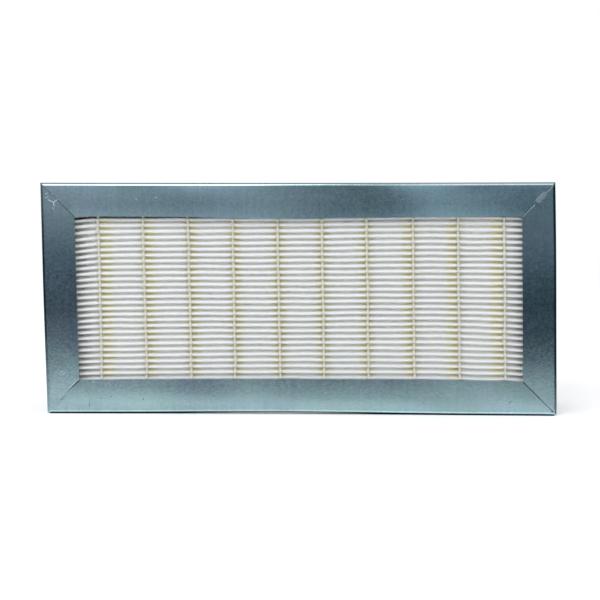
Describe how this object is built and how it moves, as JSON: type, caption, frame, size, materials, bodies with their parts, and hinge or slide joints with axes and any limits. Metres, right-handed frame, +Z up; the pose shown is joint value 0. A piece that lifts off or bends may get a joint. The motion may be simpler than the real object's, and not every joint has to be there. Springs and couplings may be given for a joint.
{
  "type": "hepa filter panel",
  "caption": "Slim pleated air filter panel: mitred galvanised sheet frame, white folded media spaced by hot melt beads, potted edges and a foam gasket on the rear face.",
  "frame": {"origin": "middle of the outer face of the bottom channel, which the panel stands on", "axes": "+X to the right along the long edge as seen from the front, +Y from the front face to the gasket face, +Z up"},
  "size_m": [0.287, 0.0554, 0.13],
  "materials": {
    "galvanised_sheet": "galvanised, dull",
    "filter_media": "matt, fibrous",
    "hot_melt_glue": "waxy cream to amber",
    "potting_compound": "satin",
    "gasket_foam": "fine closed cells",
    "frame_sealant": "smeared, satin"
  },
  "bodies": {
    "root": {"top_channel": "galvanised_sheet", "bottom_channel": "galvanised_sheet", "left_channel": "galvanised_sheet", "right_channel": "galvanised_sheet", "pleated_media": "filter_media", "front_bead_01": "hot_melt_glue", "front_bead_02": "hot_melt_glue", "front_bead_03": "hot_melt_glue", "front_bead_04": "hot_melt_glue", "front_bead_05": "hot_melt_glue", "front_bead_06": "hot_melt_glue", "front_bead_07": "hot_melt_glue", "front_bead_08": "hot_melt_glue", "front_bead_09": "hot_melt_glue", "front_bead_10": "hot_melt_glue", "rear_bead_01": "hot_melt_glue", "rear_bead_02": "hot_melt_glue", "rear_bead_03": "hot_melt_glue", "rear_bead_04": "hot_melt_glue", "rear_bead_05": "hot_melt_glue", "rear_bead_06": "hot_melt_glue", "rear_bead_07": "hot_melt_glue", "rear_bead_08": "hot_melt_glue", "rear_bead_09": "hot_melt_glue", "rear_bead_10": "hot_melt_glue", "potting_top": "potting_compound", "potting_bottom": "potting_compound", "potting_left": "potting_compound", "potting_right": "potting_compound", "gasket_top": "gasket_foam", "gasket_bottom": "gasket_foam", "gasket_left": "gasket_foam", "gasket_right": "gasket_foam", "mitre_sealant_dab": "frame_sealant"}
  },
  "joints": []
}
